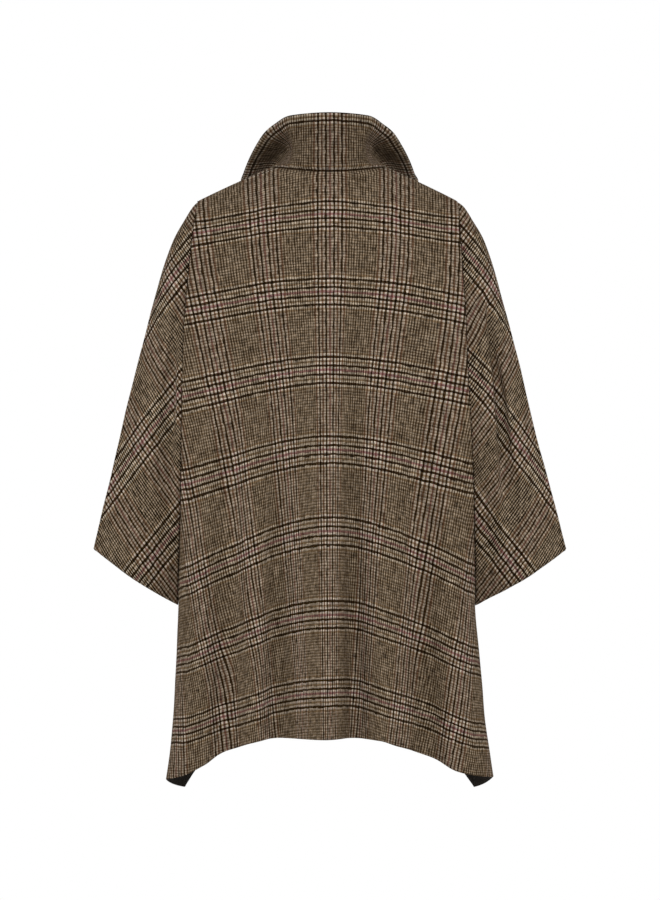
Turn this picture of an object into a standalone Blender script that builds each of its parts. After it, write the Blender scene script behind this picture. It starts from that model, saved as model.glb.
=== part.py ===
# A flared cape in checked wool, in the form it takes on a wearer, with nobody inside.
# Metres, +Z up, front towards -Y, the wearer's left towards +X. The origin is the middle of the
# neck opening at the height of the nape seam, where the wearer's neck and shoulders carry it.
# Each cut piece is a thin wall on a surface worked out from sizes and short tables.

import bpy
import bmesh
import numpy as np

for old in list(bpy.data.objects):
    bpy.data.objects.remove(old, do_unlink=True)

# Cloth and seams
CLOTH = 0.0025            # wall of the double-faced coating
COLLAR_CLOTH = 0.0022     # each of the two layers of the collar
SEAM_GAP = 0.0003         # between sewn pieces
CHECK = (0.165, 0.130, 0.095)  # mean colour of the check
MATT = 0.9                # roughness of brushed wool

# Neck and shoulders
NECK_HALF = 0.090         # half the neck opening at the sides
NAPE = 0.070              # nape seam behind the origin
THROAT = 0.092            # front neck seam in front of the origin
SIDE_RISE = 0.012         # side neck points above the nape
THROAT_DROP = 0.068       # front neck point below the nape
SHOULDER_HALF = 0.2035
SHOULDER_DROP = 0.0400
NECK_SHARE = 0.40         # share of a panel's top edge that is neck seam
RISE = 0.24               # share of the length over which the shoulders round out
ROUND_BAND = (0.12, 0.36)  # shares across between which the gentle nape turns into a round shoulder

# Armholes and sides
UNDERARM = 0.686          # share of the side edge that is armhole, the rest is side seam
ARMHOLE_BACK = 0.088      # deepest reach of the armhole seam behind the side line
ARMHOLE_FRONT = 0.086
ARMHOLE_LEAN = 0.80       # below 1 the widest of the armhole lies above its middle
ARMHOLE_FULL = 0.62       # below 1 the armhole is fuller than a sine
SLEEVE_HEAD = 0.025       # the sleeve begins just under the shoulder point
SLEEVE_CROWD = 1.5        # rows of a sleeve lie closer together towards its head
SLEEVE_FOOT = 0.998       # the sleeve ends just above the underarm point
SLEEVE_FLATTEN = (0.05, 0.45)  # shares down between which the round head turns into two flat faces
SLEEVE_STRAIGHT = 0.6     # how far those faces go from round (0) to straight (1)
CUFF_SAG = 0.003          # fall of the cuff edge below the straight line from underarm to tip
CUFF_WAVE = 0.6           # share of that fall in a second, shorter wave

# Front lap
LAP = 0.030               # each front runs this far past the centre
LAP_STEP = 0.0040         # the right front lies this much outside the left
LAP_SHARE = 0.14          # share of a front's width that stays flat for the lap
LAP_TURN = 19.5           # degrees that each front's neck seam runs past the throat
LAP_FADE = (0.24, 0.40)   # shares across between which the right front comes back in line

# Grid sizes: columns of half the back and of a front, their rows over the shoulder and below it,
# then columns and rows of a sleeve and of the collar
PANEL_COLUMNS = 23
FRONT_COLUMNS = 20
SHOULDER_ROWS = 6
SHOULDER_SHARE = 0.12     # share of the length that the shoulder rows take
PANEL_ROWS = 20
SLEEVE_COLUMNS = 22
SLEEVE_ROWS = 20
COLLAR_COLUMNS = 44
COLLAR_ROWS = 6


def table(names, *rows):
    return dict(zip(names.split(), np.array(rows, dtype=float).T))


# Plan sections of the body down its length. share runs from neck and shoulder (0) to hem (1).
# Each half section is a cubic curve from the centre to the side line; reach and corner are its
# inner control points for the back (b) and the front (f).
SECTION = table(
    "share b_centre b_reach b_corner_x b_corner_y f_centre f_reach f_corner_x f_corner_y",
    (0.00, 0.100, 0.115, 0.188, 0.085, -0.112, 0.115, 0.188, -0.090),
    (0.25, 0.124, 0.118, 0.180, 0.118, -0.136, 0.118, 0.182, -0.126),
    (0.50, 0.132, 0.122, 0.186, 0.124, -0.150, 0.122, 0.190, -0.136),
    (0.686, 0.138, 0.140, 0.223, 0.140, -0.157, 0.140, 0.236, -0.128),
    (0.85, 0.145, 0.150, 0.246, 0.150, -0.163, 0.150, 0.224, -0.135),
    (1.00, 0.150, 0.165, 0.298, 0.160, -0.168, 0.150, 0.176, -0.140),
)

# The side line, which is the side seam below the underarm and the middle of the armhole above it.
# right is the right half's width as a share of the left half's, and right_y its own side line.
SIDE = table(
    "share x y right right_y",
    (0.00, 0.2035, 0.000, 0.958, 0.000),
    (0.10, 0.2085, -0.002, 0.942, -0.002),
    (0.25, 0.2180, -0.005, 0.933, -0.005),
    (0.50, 0.2225, 0.000, 0.964, 0.000),
    (0.686, 0.2285, 0.012, 0.957, 0.012),
    (0.85, 0.2320, 0.002, 0.986, -0.006),
    (1.00, 0.2225, -0.020, 1.000, -0.052),
)

# Height of the hem along each half panel, from the centre (0) to the side seam (1).
BACK_HEM = table(
    "across left right",
    (0.00, -0.8370, -0.8370),
    (0.15, -0.8345, -0.8370),
    (0.22, -0.8375, -0.8460),
    (0.33, -0.8515, -0.8640),
    (0.44, -0.8745, -0.8815),
    (0.60, -0.8930, -0.8930),
    (0.80, -0.9040, -0.9020),
    (1.00, -0.9250, -0.9290),
)
FRONT_HEM = table(
    "across left right",
    (0.00, -0.8500, -0.8500),
    (0.45, -0.8570, -0.8570),
    (0.75, -0.8860, -0.8900),
    (0.90, -0.9060, -0.9120),
    (1.00, -0.9250, -0.9290),
)

# Flutes: how far the cloth stands out (+) or falls back (-) at the hem, by distance across,
# wearer's left positive. They grow from the share FLUTE_START down to the hem.
FLUTE_START = 0.20
FLUTE_FADE = (0.55, 0.80)  # shares across between which they die out towards the side seam
BACK_FLUTES = table(
    "across out",
    (-0.245, 0.000),
    (-0.192, 0.013),
    (-0.133, -0.016),
    (-0.083, 0.012),
    (-0.037, -0.015),
    (0.006, 0.014),
    (0.075, -0.011),
    (0.110, 0.008),
    (0.153, -0.014),
    (0.207, 0.012),
    (0.245, 0.000),
)
FRONT_FLUTES = table(
    "across out",
    (-0.240, 0.000),
    (-0.185, -0.014),
    (-0.125, 0.014),
    (-0.080, -0.010),
    (-0.040, 0.000),
    (0.040, 0.000),
    (0.080, -0.010),
    (0.130, 0.013),
    (0.180, -0.012),
    (0.240, 0.000),
)

# The line down the outside of each sleeve, from the shoulder point (0) to the cuff tip (1).
# belly is how far the cloth stands off the straight line from seam to tip, back and front.
OUTER = table(
    "share x y z belly right",
    (0.000, 0.2035, 0.000, -0.0400, 0.000, 0.958),
    (0.015, 0.2095, 0.001, -0.0490, 0.002, 0.965),
    (0.043, 0.2195, 0.004, -0.0660, 0.004, 0.974),
    (0.100, 0.2355, 0.009, -0.0965, 0.007, 0.982),
    (0.160, 0.2465, 0.014, -0.1270, 0.009, 0.983),
    (0.277, 0.2640, 0.020, -0.1870, 0.011, 0.983),
    (0.600, 0.3065, 0.024, -0.3550, 0.016, 0.982),
    (0.850, 0.3375, 0.022, -0.4850, 0.026, 0.992),
    (1.000, 0.3555, 0.018, -0.5620, 0.034, 1.000),
)

# Long soft folds of the sleeves: turn is the angle from the seam (0) to the outside line (90),
# depth the fall of the cloth, first and last where the fold runs, face 1 back and -1 front,
# arm 1 left and -1 right.
SLEEVE_FOLDS = table(
    "turn half depth first last face arm",
    (16.0, 12.0, 0.005, 0.20, 0.95, 1.0, 1.0),
    (24.0, 12.0, 0.012, 0.35, 0.99, 1.0, -1.0),
    (22.0, 14.0, 0.007, 0.30, 0.95, -1.0, 1.0),
    (30.0, 14.0, 0.008, 0.25, 0.95, -1.0, -1.0),
)

# Outer edge of the collar by angle round the neck from the nape, for the left half, and how far
# the cloth curves in towards the neck, on towards the front and up between the neck seam and
# that edge.
COLLAR_EDGE = table(
    "turn x y z bow_in bow_on bow_up right",
    (-30.0, -0.0590, 0.060, 0.0840, 0.006, 0.000, 0.000, 0.962),
    (0.0, 0.0000, 0.078, 0.0865, 0.004, 0.000, 0.000, 0.962),
    (30.0, 0.0590, 0.060, 0.0840, 0.006, 0.000, 0.000, 0.962),
    (55.0, 0.0865, 0.020, 0.0740, 0.024, 0.008, 0.002, 0.958),
    (80.0, 0.1070, -0.018, 0.0530, 0.032, 0.018, 0.006, 0.970),
    (105.0, 0.1220, -0.058, 0.0330, 0.026, 0.018, 0.010, 0.972),
    (130.0, 0.1340, -0.098, 0.0140, 0.012, 0.008, 0.016, 0.975),
    (150.0, 0.1390, -0.122, 0.0020, 0.000, 0.000, 0.018, 0.990),
    (172.0, 0.1120, -0.140, -0.0450, 0.000, 0.000, 0.016, 0.990),
)
COLLAR_END = 172.0


def smooth(knots, values, at):
    # A curve through the table that keeps its rises and falls, with no overshoot.
    at = np.clip(at, knots[0], knots[-1])
    step = np.diff(knots)
    slope = np.diff(values) / step
    tangent = np.concatenate((slope[:1], np.zeros(len(slope) - 1), slope[-1:]))
    product = slope[:-1] * slope[1:]
    total = np.where(product > 0, slope[:-1] + slope[1:], 1.0)
    tangent[1:-1] = np.where(product > 0, 2 * product / total, 0.0)
    i = np.clip(np.searchsorted(knots, at, side="right") - 1, 0, len(knots) - 2)
    f = (at - knots[i]) / step[i]
    first = (1 + 2 * f) * (1 - f) ** 2 * values[i] + f * (1 - f) ** 2 * step[i] * tangent[i]
    second = f * f * (3 - 2 * f) * values[i + 1] + f * f * (f - 1) * step[i] * tangent[i + 1]
    return first + second


def column(rows, name, at):
    names = list(rows)
    return smooth(rows[names[0]], rows[name], at)


def ease(low, high, value):
    f = np.clip((value - low) / (high - low), 0.0, 1.0)
    return f * f * (3 - 2 * f)


def cubic(f, a, b, c, d):
    g = 1 - f
    return g ** 3 * a + 3 * g * g * f * b + 3 * g * f * f * c + f ** 3 * d


def flute(rows, across):
    # A cosine wave from each station of the table to the next.
    knots = rows["across"]
    values = rows["out"]
    at = np.clip(across, knots[0], knots[-1])
    i = np.clip(np.searchsorted(knots, at, side="right") - 1, 0, len(knots) - 2)
    f = (at - knots[i]) / (knots[i + 1] - knots[i])
    return values[i] + (values[i + 1] - values[i]) * (1 - np.cos(np.pi * f)) / 2


def neck(turn):
    # The neck seam by angle from the nape (0) over the side (90) to the throat (180), left half.
    angle = np.radians(turn)
    behind = np.cos(angle) >= 0
    x = NECK_HALF * np.sin(angle)
    y = np.where(behind, NAPE, THROAT) * np.cos(angle)
    fall = np.where(behind, SIDE_RISE, SIDE_RISE + THROAT_DROP) * np.cos(angle) ** 2
    return x, y, SIDE_RISE - fall


def top_edge(m, throat):
    # Neck seam then shoulder seam, from the centre (m = 0) to the shoulder point (m = 1).
    f = np.clip(m / NECK_SHARE, 0.0, 1.0)
    turn = 180.0 + LAP_TURN - f * (90.0 + LAP_TURN) if throat else f * 90.0
    x, y, z = neck(turn)
    f = np.clip((m - NECK_SHARE) / (1 - NECK_SHARE), 0.0, 1.0)
    on_shoulder = m > NECK_SHARE
    x = np.where(on_shoulder, NECK_HALF + (SHOULDER_HALF - NECK_HALF) * f, x)
    y = np.where(on_shoulder, 0.0, y)
    z = np.where(on_shoulder, SIDE_RISE - (SIDE_RISE + SHOULDER_DROP) * f, z)
    return x, y, z


def armhole(t):
    # 0 at the shoulder point and from the underarm down, 1 at the widest of the armhole.
    v = np.clip(t / UNDERARM, 0.0, 1.0)
    return np.sin(np.pi * v ** ARMHOLE_LEAN) ** ARMHOLE_FULL


def half_section(m, t, throat, side, start):
    # Plan position of a half panel with no regard to its top edge.
    key = "f_" if throat else "b_"
    reach = -ARMHOLE_FRONT if throat else ARMHOLE_BACK
    edge_x = column(SIDE, "x", t)
    edge_y = column(SIDE, "y" if side > 0 else "right_y", t) + reach * armhole(t)
    centre = column(SECTION, key + "centre", t)
    corner_x = column(SECTION, key + "corner_x", t)
    corner_y = column(SECTION, key + "corner_y", t)
    x = cubic(m, start, column(SECTION, key + "reach", t), corner_x, edge_x)
    flat = LAP_SHARE if throat else 0.0
    y = cubic(np.clip((m - flat) / (1 - flat), 0.0, 1.0), centre, centre, corner_y, edge_y)
    return x, y


def half_panel(m, t, throat, side, start=0.0):
    # A half panel: m from the centre (0) to the side line (1), t from the top edge (0) to hem (1).
    top_x, top_y, top_z = top_edge(m, throat)
    x, y = half_section(m, t, throat, side, start)
    base_x, base_y = half_section(m, np.zeros_like(t), throat, side, start)
    f = np.clip(t / RISE, 0.0, 1.0)
    rounded = np.sqrt(f * (2 - f))
    gentle = 1 - (1 - f) ** 2
    blend = gentle + (rounded - gentle) * ease(*ROUND_BAND, m)
    x = x + (1 - blend) * (top_x - base_x)
    y = y + (1 - blend) * (top_y - base_y)
    hem = FRONT_HEM if throat else BACK_HEM
    z = top_z * (1 - t) + column(hem, "left" if side > 0 else "right", m) * t
    x = x * (1.0 if side > 0 else column(SIDE, "right", t))
    waves = flute(FRONT_FLUTES if throat else BACK_FLUTES, side * x)
    grow = ease(FLUTE_START, 1.0, t) * (1 - ease(*FLUTE_FADE, m))
    y = y + (-1 if throat else 1) * waves * grow
    return np.stack((side * x, y, z), axis=-1)


def back_surface(s, t):
    left = half_panel(np.abs(s), t, False, 1)
    right = half_panel(np.abs(s), t, False, -1)
    shift = np.array((0.0, SEAM_GAP / 2, 0.0))
    return np.where((s >= 0)[..., None], left, right) + shift


def lap_step(m):
    # How far the right front stands off the left, full at the lap and none from the side neck on.
    return LAP_STEP * (1 - ease(*LAP_FADE, m))


def front_surface(side):
    def surface(m, t):
        points = half_panel(m, t, True, side, -LAP)
        step = lap_step(m) if side < 0 else 0.0
        points[..., 1] -= SEAM_GAP / 2 + step
        return points
    return surface


def sleeve_surface(side):
    def surface(b, a):
        # b runs from the back seam (1) over the outside (0) to the front seam (-1).
        t = a * UNDERARM
        ones = np.ones_like(t)
        seam_back = half_panel(ones, t, False, side)
        seam_front = half_panel(ones, t, True, side)
        behind = (b >= 0)[..., None]
        seam = np.where(behind, seam_back, seam_front)
        right = 1.0 if side > 0 else column(OUTER, "right", a)
        out_x = side * right * column(OUTER, "x", a)
        out_y = column(OUTER, "y", a)
        out_z = column(OUTER, "z", a)
        turn = (1 - np.abs(b)) * np.pi / 2
        face = np.where(b >= 0, 1.0, -1.0)
        out = np.sin(turn)
        flat = ease(*SLEEVE_FLATTEN, a)
        straight = np.cos(turn) + (1 - out - np.cos(turn)) * SLEEVE_STRAIGHT * flat
        bulge = np.sin(2 * turn) + (4 * out * (1 - out) - np.sin(2 * turn)) * flat
        x = seam[..., 0] + (out_x - seam[..., 0]) * out
        y = out_y + (seam[..., 1] - out_y) * straight + column(OUTER, "belly", a) * face * bulge
        z = seam[..., 2] + (out_z - seam[..., 2]) * out
        sag = CUFF_SAG * (np.sin(2 * turn) + CUFF_WAVE * np.sin(4 * turn))
        z = z - sag * ease(0.5, 1.0, a)
        for row in zip(*SLEEVE_FOLDS.values()):
            middle, half, depth, first, last, on_face, arm = row
            away = np.clip((np.degrees(turn) - middle) / half, -1.0, 1.0)
            swell = np.sin(np.pi * np.clip((a - first) / (last - first), 0.0, 1.0)) ** 2
            fall = depth * (1 + np.cos(np.pi * away)) / 2 * swell
            fall = np.where((face == on_face) & (arm == side), fall, 0.0)
            y = y - face * fall
        return np.stack((x + side * SEAM_GAP, y, z), axis=-1)
    return surface


def collar_surface(c, r):
    # c is the angle round the neck, left positive; r runs from the neck seam (0) to the edge (1).
    turn = np.abs(c)
    x, y, z = neck(turn)
    z = z + 2 * SEAM_GAP
    m = np.clip((180.0 + LAP_TURN - turn) / (90.0 + LAP_TURN), 0.0, 1.0) * NECK_SHARE
    y = np.where(c < 0, y - lap_step(m), y)
    edge_x = column(COLLAR_EDGE, "x", turn)
    edge_y = column(COLLAR_EDGE, "y", turn)
    edge_z = column(COLLAR_EDGE, "z", turn)
    bow = np.sin(np.pi * r)
    inward = column(COLLAR_EDGE, "bow_in", turn) * bow
    ahead = np.radians(turn)
    px = x + (edge_x - x) * r - inward * np.sin(ahead)
    py = y + (edge_y - y) * r - inward * np.cos(ahead) - column(COLLAR_EDGE, "bow_on", turn) * bow
    pz = z + (edge_z - z) * r + column(COLLAR_EDGE, "bow_up", turn) * bow
    side = np.where(c >= 0, 1.0, -1.0)
    seam_width = SIDE["right"][0]
    edge_width = column(COLLAR_EDGE, "right", turn)
    width = np.where(c >= 0, 1.0, seam_width + (edge_width - seam_width) * r)
    return np.stack((side * width * px, py, pz), axis=-1)


def normals(surface, u, v, u_range, v_range):
    # Directions square to the surface, from small steps each way that stay on it.
    du = 1e-4 * (u_range[1] - u_range[0])
    dv = 1e-4 * (v_range[1] - v_range[0])
    along = surface(np.minimum(u + du, u_range[1]), v) - surface(np.maximum(u - du, u_range[0]), v)
    down = surface(u, np.minimum(v + dv, v_range[1])) - surface(u, np.maximum(v - dv, v_range[0]))
    square = np.cross(along, down)
    return square / np.linalg.norm(square, axis=-1, keepdims=True)


def wall(name, surface, u, v, outside, start, thick, colour):
    # A closed wall on the surface's grid: start is how far inside the surface it begins.
    grid_u, grid_v = np.meshgrid(u, v)
    points = surface(grid_u, grid_v)
    square = normals(surface, grid_u, grid_v, (u.min(), u.max()), (v.min(), v.max()))
    square = square * outside
    outer = points - square * start
    inner = points - square * (start + thick)
    rows, columns = grid_u.shape
    shape = bmesh.new()
    faces = []
    layers = []
    for layer in (outer, inner):
        corners = [shape.verts.new(p) for p in layer.reshape(-1, 3)]
        layers.append(np.array(corners, dtype=object).reshape(rows, columns))
    for layer in layers:
        for i in range(rows - 1):
            for j in range(columns - 1):
                faces.append((layer[i, j], layer[i, j + 1], layer[i + 1, j + 1], layer[i + 1, j]))
    rim = [(0, j) for j in range(columns)] + [(i, columns - 1) for i in range(1, rows)]
    rim += [(rows - 1, j) for j in range(columns - 2, -1, -1)] + [(i, 0) for i in range(rows - 2, 0, -1)]
    for a, b in zip(rim, rim[1:] + rim[:1]):
        faces.append((layers[0][a], layers[0][b], layers[1][b], layers[1][a]))
    for face in faces:
        shape.faces.new(face)
    bmesh.ops.recalc_face_normals(shape, faces=shape.faces)
    mesh = bpy.data.meshes.new(name)
    shape.to_mesh(mesh)
    shape.free()
    material = bpy.data.materials.new(name + "_cloth")
    material.use_nodes = True
    shader = material.node_tree.nodes["Principled BSDF"]
    shader.inputs["Base Color"].default_value = (*colour, 1.0)
    shader.inputs["Roughness"].default_value = MATT
    mesh.materials.append(material)
    piece = bpy.data.objects.new(name, mesh)
    bpy.context.scene.collection.objects.link(piece)
    return piece


# Rows lie closer together near the shoulders, where the cloth turns over.
shoulder_rows = SHOULDER_SHARE * np.linspace(0.0, 1.0, SHOULDER_ROWS + 1) ** 2
panel_rows = np.concatenate((shoulder_rows, np.linspace(SHOULDER_SHARE, 1.0, PANEL_ROWS)[1:]))
sleeve_rows = np.linspace(SLEEVE_HEAD, 1.0, SLEEVE_ROWS) ** SLEEVE_CROWD * SLEEVE_FOOT
across = np.linspace(-1.0, 1.0, 2 * PANEL_COLUMNS - 1)
half = np.linspace(0.0, 1.0, FRONT_COLUMNS)
over = np.linspace(1.0, -1.0, SLEEVE_COLUMNS + 1)
round_neck = np.linspace(-COLLAR_END, COLLAR_END, COLLAR_COLUMNS + 1)
stand = np.linspace(0.0, 1.0, COLLAR_ROWS + 1)

wall("back", back_surface, across, panel_rows, 1, 0.0, CLOTH, CHECK)
wall("front_left", front_surface(1), half, panel_rows, -1, 0.0, CLOTH, CHECK)
wall("front_right", front_surface(-1), half, panel_rows, 1, 0.0, CLOTH, CHECK)
wall("sleeve_left", sleeve_surface(1), over, sleeve_rows, -1, 0.0, CLOTH, CHECK)
wall("sleeve_right", sleeve_surface(-1), over, sleeve_rows, 1, 0.0, CLOTH, CHECK)
wall("collar_under", collar_surface, round_neck, stand, -1, 0.0, COLLAR_CLOTH, CHECK)
wall("collar_upper", collar_surface, round_neck, stand, -1, COLLAR_CLOTH + SEAM_GAP,
     COLLAR_CLOTH, CHECK)
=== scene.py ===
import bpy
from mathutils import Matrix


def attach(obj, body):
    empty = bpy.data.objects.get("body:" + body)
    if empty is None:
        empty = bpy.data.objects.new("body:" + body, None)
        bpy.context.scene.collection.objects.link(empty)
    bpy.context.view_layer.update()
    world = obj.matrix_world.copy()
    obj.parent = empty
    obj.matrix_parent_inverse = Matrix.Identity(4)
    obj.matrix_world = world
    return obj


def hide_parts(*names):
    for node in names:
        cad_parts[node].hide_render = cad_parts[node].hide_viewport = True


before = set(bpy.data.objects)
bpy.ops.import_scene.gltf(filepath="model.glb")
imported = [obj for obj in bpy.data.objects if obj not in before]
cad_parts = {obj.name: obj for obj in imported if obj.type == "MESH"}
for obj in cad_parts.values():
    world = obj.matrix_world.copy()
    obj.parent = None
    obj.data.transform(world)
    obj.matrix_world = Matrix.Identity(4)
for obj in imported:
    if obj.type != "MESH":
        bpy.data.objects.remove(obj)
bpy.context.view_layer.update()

import bpy
import numpy as np

# A flared cape in checked wool, worn form, nobody inside. Metres, +Z up, front towards -Y,
# the wearer's left towards +X, origin in the middle of the neck opening at the nape seam.
print("frame loaded:", ", ".join(sorted(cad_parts)))


def table(names, *rows):
    # Columns of a small table as arrays, by name.
    return dict(zip(names.split(), np.array(rows, dtype=float).T))


# Sizes that all the pieces share, in metres, degrees and shares of a width or length. A fade is from
# and to, a seam is depth and reach, and a calm is how far from a seam the folds come in.
cut = {
    "cloth": 0.0025, "collarCloth": 0.0022, "seamGap": 0.0003, "rowPower": 1.25,
    "neckHalf": 0.090, "nape": 0.070, "throat": 0.092, "sideRise": 0.012, "throatDrop": 0.068,
    "shoulderHalf": 0.1995, "shoulderDrop": 0.037, "neckShare": 0.40, "rise": 0.24,
    "riseFade": (0.12, 0.36), "fluteStart": 0.20, "fluteFade": (0.55, 0.80),
    "underarm": 0.686, "armholeBack": 0.088, "armholeFront": 0.086, "armholePowers": (0.80, 0.62),
    "lap": 0.030, "lapStep": 0.0040, "lapShare": 0.14, "lapTurn": 19.5, "lapFade": (0.24, 0.40),
    "tuck": 0.0038, "tuckReach": 0.0060, "tuckFade": 0.06, "topShare": 0.3,
    "shoulderSeam": (0.0011, 0.0045), "armSeam": (0.0005, 0.0030),
    "creaseCalm": 0.05, "unevenCalm": 0.04, "unevenTop": 0.10,
}

# Plan sections down the body, back then front: centre, then the inner points of a cubic curve.
section = table(
    "share backCentre backReach backX backY frontCentre frontReach frontX frontY",
    (0.000, 0.100, 0.115, 0.188, 0.085, -0.112, 0.115, 0.188, -0.090),
    (0.250, 0.124, 0.118, 0.180, 0.118, -0.136, 0.118, 0.182, -0.126),
    (0.500, 0.132, 0.122, 0.186, 0.124, -0.150, 0.122, 0.190, -0.136),
    (0.686, 0.138, 0.140, 0.223, 0.140, -0.157, 0.140, 0.236, -0.128),
    (0.850, 0.145, 0.150, 0.246, 0.150, -0.163, 0.150, 0.224, -0.135),
    (1.000, 0.150, 0.165, 0.298, 0.160, -0.168, 0.150, 0.176, -0.140),
)

# The side line, with the right half's width as a share of the left's and its own depth.
sideLine = table(
    "share x y right rightY",
    (0.000, 0.1995, 0.000, 0.965, 0.000),
    (0.100, 0.2085, -0.002, 0.942, -0.002),
    (0.250, 0.2180, -0.005, 0.933, -0.005),
    (0.500, 0.2225, 0.000, 0.964, 0.000),
    (0.686, 0.2285, 0.012, 0.957, 0.012),
    (0.850, 0.2320, 0.002, 0.986, -0.006),
    (1.000, 0.2225, -0.020, 1.000, -0.052),
)

# Hem heights from the centre to the side seam.
backHem = table(
    "across left right",
    (0.00, -0.8345, -0.8345), (0.15, -0.8345, -0.8365), (0.22, -0.8375, -0.8460),
    (0.33, -0.8515, -0.8640), (0.44, -0.8745, -0.8815), (0.60, -0.8930, -0.8930),
    (0.80, -0.9040, -0.9020), (1.00, -0.9250, -0.9290),
)
frontHem = table(
    "across left right",
    (0.00, -0.8500, -0.8500), (0.45, -0.8570, -0.8570), (0.75, -0.8860, -0.8900),
    (0.90, -0.9060, -0.9120), (1.00, -0.9250, -0.9290),
)

# Flutes at the hem by distance across, out (+) or back (-).
backFlutes = table(
    "across out",
    (-0.245, 0.000), (-0.192, 0.013), (-0.133, -0.016), (-0.083, 0.012), (-0.037, -0.015),
    (0.006, 0.014), (0.075, -0.011), (0.110, 0.008), (0.153, -0.014), (0.207, 0.012), (0.245, 0.000),
)
frontFlutes = table(
    "across out",
    (-0.240, 0.000), (-0.185, -0.014), (-0.125, 0.014), (-0.080, -0.010), (-0.040, 0.000),
    (0.040, 0.000), (0.080, -0.010), (0.130, 0.013), (0.180, -0.012), (0.240, 0.000),
)

# The line down the outside of a sleeve, and how far the cloth bellies off it.
outerLine = table(
    "share x y z belly right",
    (0.000, 0.1988, 0.000, -0.0385, 0.000, 0.965),
    (0.015, 0.2075, 0.001, -0.0480, 0.002, 0.978),
    (0.043, 0.2185, 0.004, -0.0660, 0.004, 0.980),
    (0.100, 0.2355, 0.009, -0.0965, 0.007, 0.982),
    (0.160, 0.2465, 0.014, -0.1270, 0.009, 0.983),
    (0.277, 0.2640, 0.020, -0.1870, 0.011, 0.983),
    (0.600, 0.3065, 0.024, -0.3550, 0.016, 0.982),
    (0.850, 0.3375, 0.022, -0.4850, 0.026, 0.992),
    (1.000, 0.3555, 0.018, -0.5620, 0.034, 1.000),
)

# Outer edge of the collar by angle from the nape.
collarEdge = table(
    "turn x y z bowIn bowOn bowUp right",
    (-30.0, -0.0590, 0.060, 0.0840, 0.006, 0.000, 0.000, 0.962),
    (0.0, 0.0000, 0.078, 0.0865, 0.004, 0.000, 0.000, 0.962),
    (30.0, 0.0590, 0.060, 0.0840, 0.006, 0.000, 0.000, 0.962),
    (55.0, 0.0865, 0.020, 0.0740, 0.024, 0.008, 0.002, 0.958),
    (67.5, 0.0995, 0.001, 0.0650, 0.029, 0.013, 0.004, 0.968),
    (80.0, 0.1095, -0.018, 0.0530, 0.032, 0.018, 0.006, 0.970),
    (105.0, 0.1235, -0.058, 0.0330, 0.026, 0.018, 0.010, 0.974),
    (130.0, 0.1340, -0.098, 0.0140, 0.012, 0.008, 0.016, 0.975),
    (150.0, 0.1390, -0.122, 0.0020, 0.000, 0.000, 0.018, 0.990),
    (172.0, 0.1120, -0.140, -0.0450, 0.000, 0.000, 0.016, 0.990),
)


# Cubic pieces through the knots, with slopes that never overshoot a rise or a fall.
def through(knots, values, at):
    at = np.clip(at, knots[0], knots[-1])
    step = np.diff(knots)
    slope = np.diff(values) / step
    product = slope[:-1] * slope[1:]
    total = np.where(product > 0, slope[:-1] + slope[1:], 1.0)
    inner = np.where(product > 0, 2 * product / total, 0.0)
    tangent = np.concatenate((slope[:1], inner, slope[-1:]))
    i = np.clip(np.searchsorted(knots, at, side="right") - 1, 0, len(knots) - 2)
    f = (at - knots[i]) / step[i]
    first = (1 + 2 * f) * (1 - f) ** 2 * values[i] + f * (1 - f) ** 2 * step[i] * tangent[i]
    return first + f * f * (3 - 2 * f) * values[i + 1] + f * f * (f - 1) * step[i] * tangent[i + 1]


def reading(rows, name, at):
    # One column of a table at any place along its first column.
    return through(next(iter(rows.values())), rows[name], at)


def ease(low, high, value):
    # 0 below low, 1 above high, 3f2 - 2f3 between.
    f = np.clip((value - low) / (high - low), 0.0, 1.0)
    return f * f * (3 - 2 * f)


def bezier(f, a, b, c, d):
    # Cubic with end points a and d and inner points b and c.
    g = 1 - f
    return g ** 3 * a + 3 * g * g * f * b + 3 * g * f * f * c + f ** 3 * d


def stations(rows, across):
    # Which two stations of a flute table a place lies between, and how far along.
    knots = rows["across"]
    at = np.clip(across, knots[0], knots[-1])
    i = np.clip(np.searchsorted(knots, at, side="right") - 1, 0, len(knots) - 2)
    return i, (at - knots[i]) / (knots[i + 1] - knots[i])


def flute(rows, across):
    # Half a cosine wave from each station to the next.
    i, f = stations(rows, across)
    return rows["out"][i] + (rows["out"][i + 1] - rows["out"][i]) * (1 - np.cos(np.pi * f)) / 2


def neckSeam(turn):
    # Ellipse halves behind and before the side neck, falling with the square of the cosine.
    angle = np.radians(turn)
    behind = np.cos(angle) >= 0
    fall = np.where(behind, cut["sideRise"], cut["sideRise"] + cut["throatDrop"]) * np.cos(angle) ** 2
    y = np.where(behind, cut["nape"], cut["throat"]) * np.cos(angle)
    return cut["neckHalf"] * np.sin(angle), y, cut["sideRise"] - fall


def neckTurn(m, throat):
    # Angle from the nape in even steps, out to the side neck, or back to it from the lap's edge.
    f = np.clip(m / cut["neckShare"], 0.0, 1.0)
    return 180.0 + cut["lapTurn"] - f * (90.0 + cut["lapTurn"]) if throat else f * 90.0


def topEdge(m, throat):
    # Neck seam to neckShare, then a straight shoulder seam.
    x, y, z = neckSeam(neckTurn(m, throat))
    f = np.clip((m - cut["neckShare"]) / (1 - cut["neckShare"]), 0.0, 1.0)
    onShoulder = m > cut["neckShare"]
    x = np.where(onShoulder, cut["neckHalf"] + (cut["shoulderHalf"] - cut["neckHalf"]) * f, x)
    z = np.where(onShoulder, cut["sideRise"] - (cut["sideRise"] + cut["shoulderDrop"]) * f, z)
    return x, np.where(onShoulder, 0.0, y), z


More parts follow.
